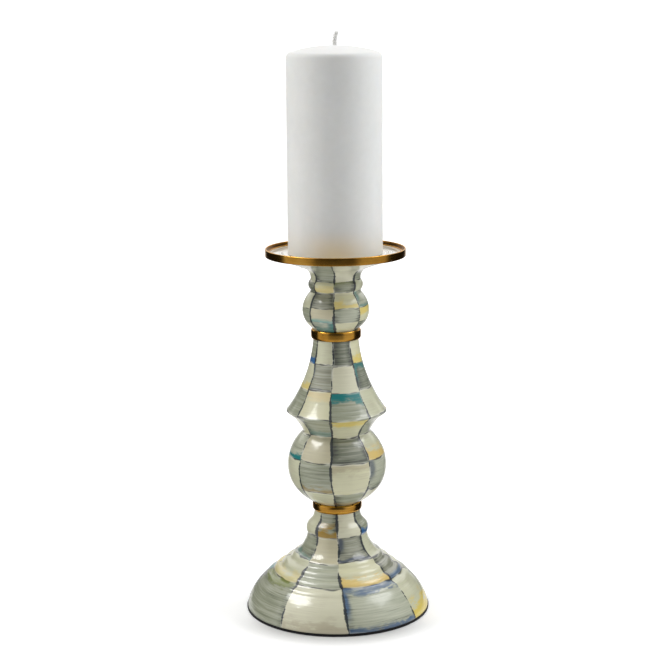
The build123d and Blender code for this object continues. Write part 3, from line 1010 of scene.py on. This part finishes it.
def tray_and_bands():
    """The pan and its rim, both collars and the black edge of the foot."""
    pan, edge = tray_enamel(), black_edge()
    rim_brass = brass("rim_brass", 0.25)
    collar_brass = brass("collar_brass", 0.35)
    plain_turned("tray_pan_enamelled", "tray_pan", pan, 4, 0.15 * MM, 1.5 * MM, BAND_STEPS)
    rim_band(rim_brass)
    collar_ring(
        "upper_collar_ring", "upper_collar", collar_brass,
        reach_down=0.9 * MM, reach_up=1.2 * MM, drawn_in=1.0 * MM, fullness=4.5,
    )
    collar_ring(
        "lower_collar_ring", "lower_collar", collar_brass,
        reach_down=0.0, reach_up=1.6 * MM, drawn_in=1.6 * MM, fullness=3.0,
    )
    plain_turned(
        "foot_edge_band", "foot_edge_trim", edge, 3,
        SMALL_FINE_STEP, SMALL_LONG_STEP, TURN_STEPS,
    )


def fittings():
    """The rod and its nuts, and finishes for the washers, spacer tube and gaskets that stay CAD pieces."""
    steel, fibre = zinc(), red_fibre()
    threaded_rod(steel)
    chamfered_nut("tray_nut_chamfered", "tray_nut", steel)
    chamfered_nut("base_nut_chamfered", "base_nut", steel)
    for name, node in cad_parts.items():
        if node.hide_render:
            continue
        finish = fibre if "gasket" in name else steel
        for i in range(len(node.material_slots)):
            node.material_slots[i].material = finish


# ---------------------------------------------------------------- the studio

def sweep_material():
    """Matt white that glows for the camera, more with distance from the object, so that it stays white,
    with a soft contact shadow beside the front of the foot."""
    n = Nodes("white_sweep")
    path = n.add("ShaderNodeLightPath")
    away = n.radius()
    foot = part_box("base_shell")[1].x
    beside = n.soft(away, foot - 2 * MM, foot + 32 * MM, 1.0, 0.0)
    shadow = n.times(beside, n.soft(n.y, -78 * MM, -10 * MM, 0.95, 0.0))
    painted_glow = n.times(n.soft(away, 0.1, 1.3, 0.31, 0.80), path.outputs["Is Camera Ray"])
    painted_glow = n.times(painted_glow, n.inverse(shadow))
    shader = n.add("ShaderNodeBsdfPrincipled")
    n.put(shader.inputs["Base Color"], n.blend(shadow, (0.9, 0.9, 0.9, 1), (0.60, 0.60, 0.59, 1)))
    shader.inputs["Roughness"].default_value = 0.9
    shader.inputs["Specular IOR Level"].default_value = 0.1
    shader.inputs["Emission Color"].default_value = (1, 1, 1, 1)
    n.put(shader.inputs["Emission Strength"], painted_glow)
    return n.surface(shader)


def stage_mesh(name, verts, faces, material):
    """A mesh that belongs to the stage and not to the object."""
    mesh = bpy.data.meshes.new(name)
    mesh.from_pydata(verts, [], faces)
    mesh.materials.append(material)
    mesh.polygons.foreach_set("use_smooth", [True] * len(mesh.polygons))
    thing = bpy.data.objects.new(name, mesh)
    bpy.context.scene.collection.objects.link(thing)
    return thing


def floor():
    """A white sweep: flat under the object, curving up into a wall far behind it."""
    half, front, back, bend, top = 6.0, -5.0, 2.6, 1.4, 6.0
    count = 24
    side = [(front, 0.0), (0.0, 0.0), (back, 0.0)]
    for k in range(1, count + 1):
        a = math.radians(90 * k / count)
        side.append((back + bend * math.sin(a), bend - bend * math.cos(a)))
    side.append((back + bend, top))
    verts = [(x, y, z) for y, z in side for x in (-half, half)]
    faces = [(2 * i, 2 * i + 1, 2 * i + 3, 2 * i + 2) for i in range(len(side) - 1)]
    return stage_mesh("floor", verts, faces, sweep_material())


def room_material(name, stops):
    """Glow that changes with the angle from the front: stops are (degrees, brightness)."""
    n = Nodes(name)
    angle = n.math("ABSOLUTE", n.math("ARCTAN2", n.x, n.times(n.y, -1.0)))
    colour = n.ramp(
        n.times(angle, 1 / math.pi),
        [(degrees / 180, value, value * 0.99, value * 0.97) for degrees, value in stops],
    )
    emission = n.add("ShaderNodeEmission")
    n.put(emission.inputs["Color"], colour)
    return n.surface(emission)


def room_ring(name, inner, outer, stops):
    """A ring between two (radius, height) circles that only shiny surfaces see."""
    count = 96
    verts = []
    for radius, z in (inner, outer):
        for j in range(count):
            a = 2 * math.pi * j / count
            verts.append((radius * math.cos(a), radius * math.sin(a), z))
    ring = stage_mesh(name, verts, between_rings(2, count), room_material(name, stops))
    ring.visible_camera = False
    ring.visible_diffuse = False
    ring.visible_transmission = False
    ring.visible_shadow = False
    return ring


def reflected_room():
    """What the brass and the glaze mirror: bright windows left and right of the front, dim between them,
    dark at the sides and bright behind, over a table that is bright in front and dark at its sides."""
    low_wall = [
        (0, 0.04), (30, 0.08), (42, 0.42), (86, 0.56), (94, 0.010), (152, 0.010), (160, 0.7), (180, 0.8),
    ]
    high_wall = [
        (0, 0.05), (30, 0.10), (42, 0.7), (86, 0.9), (96, 0.03), (124, 0.03), (138, 1.1), (180, 1.1),
    ]
    table = [(0, 0.50), (60, 0.62), (80, 0.52), (92, 0.012), (140, 0.012), (156, 0.9), (180, 1.0)]
    far_table = [
        (0, 0.30), (30, 0.34), (42, 0.6), (86, 0.7), (94, 0.012), (148, 0.012), (160, 0.9), (180, 1.0),
    ]
    wall, split, ceiling = 1.25, 0.45, 1.9
    near_edge, far_edge, ground = 0.13, 0.52, 0.001
    room_ring("room_wall_low", (wall, 0.0), (wall, split), low_wall)
    room_ring("room_wall_high", (wall, split), (wall, ceiling), high_wall)
    room_ring("room_floor", (far_edge, ground), (wall, ground), far_table)
    room_ring("room_table", (near_edge, ground), (far_edge, ground), table)


def softbox(name, azimuth, elevation, distance, size, power, colour):
    """A rectangular lamp aimed at the object's middle. The azimuth runs from the front to the right."""
    data = bpy.data.lights.new(name, "AREA")
    data.shape = "RECTANGLE"
    data.size, data.size_y = size
    data.energy = power
    data.color = colour
    lamp = bpy.data.objects.new(name, data)
    bpy.context.scene.collection.objects.link(lamp)
    a, e = math.radians(azimuth), math.radians(elevation)
    aim = Vector((0, 0, 0.22))
    away = Vector((math.sin(a) * math.cos(e), -math.cos(a) * math.cos(e), math.sin(e)))
    lamp.location = aim + away * distance
    lamp.rotation_euler = away.to_track_quat("Z", "Y").to_euler()
    return lamp


def studio():
    """Floor, reflected room, lamps and a pale world."""
    floor()
    reflected_room()
    softbox("softbox_left", -92, 50, 1.5, (0.95, 0.5), 7.0, (1.0, 0.985, 0.96)).visible_glossy = False
    softbox("softbox_right", 96, 46, 1.5, (0.9, 0.7), 8.0, (0.97, 0.985, 1.0))
    softbox("softbox_top", 175, 72, 1.8, (1.2, 1.2), 7.0, (1, 1, 1))
    softbox("window_left", -86, 50, 1.5, (0.80, 0.52), 10.5, (1, 1, 1)).visible_diffuse = False
    softbox("fill_left", -84, 12, 1.6, (1.0, 1.2), 6.0, (1.0, 0.99, 0.965)).visible_glossy = False
    softbox("fill_right", 88, 12, 1.6, (1.0, 1.2), 7.5, (0.97, 0.985, 1.0)).visible_glossy = False
    world = bpy.data.worlds.new("studio")
    bpy.context.scene.world = world
    world.use_nodes = True
    tree = world.node_tree
    sky = tree.nodes["Background"]
    sky.inputs["Color"].default_value = (1, 1, 1, 1)
    path = tree.nodes.new("ShaderNodeLightPath")
    strength = tree.nodes.new("ShaderNodeMapRange")
    strength.inputs["To Min"].default_value = 0.34  # as light
    strength.inputs["To Max"].default_value = 1.05  # as backdrop
    tree.links.new(path.outputs["Is Camera Ray"], strength.inputs["Value"])
    tree.links.new(strength.outputs[0], sky.inputs["Strength"])


def camera():
    """A long lens in front of the object, looking a little down on it."""
    data = bpy.data.cameras.new("camera")
    data.lens = 92.97
    data.sensor_width = 36.0
    data.shift_x = -0.0015
    eye = bpy.data.objects.new("camera", data)
    bpy.context.scene.collection.objects.link(eye)
    eye.location = (0.0, -1.377, 0.5037)
    tilt_down, roll = math.radians(11.257), math.radians(-0.41)
    aim = Euler((math.pi / 2 - tilt_down, 0.0, 0.0)).to_matrix() @ Matrix.Rotation(roll, 3, "Z")
    eye.rotation_euler = aim.to_euler()
    bpy.context.scene.camera = eye


painted_stand()
tray_and_bands()
candle_body(wax())
wick_braid(cotton())
fittings()
studio()
camera()
bpy.context.scene.view_settings.view_transform = "Standard"
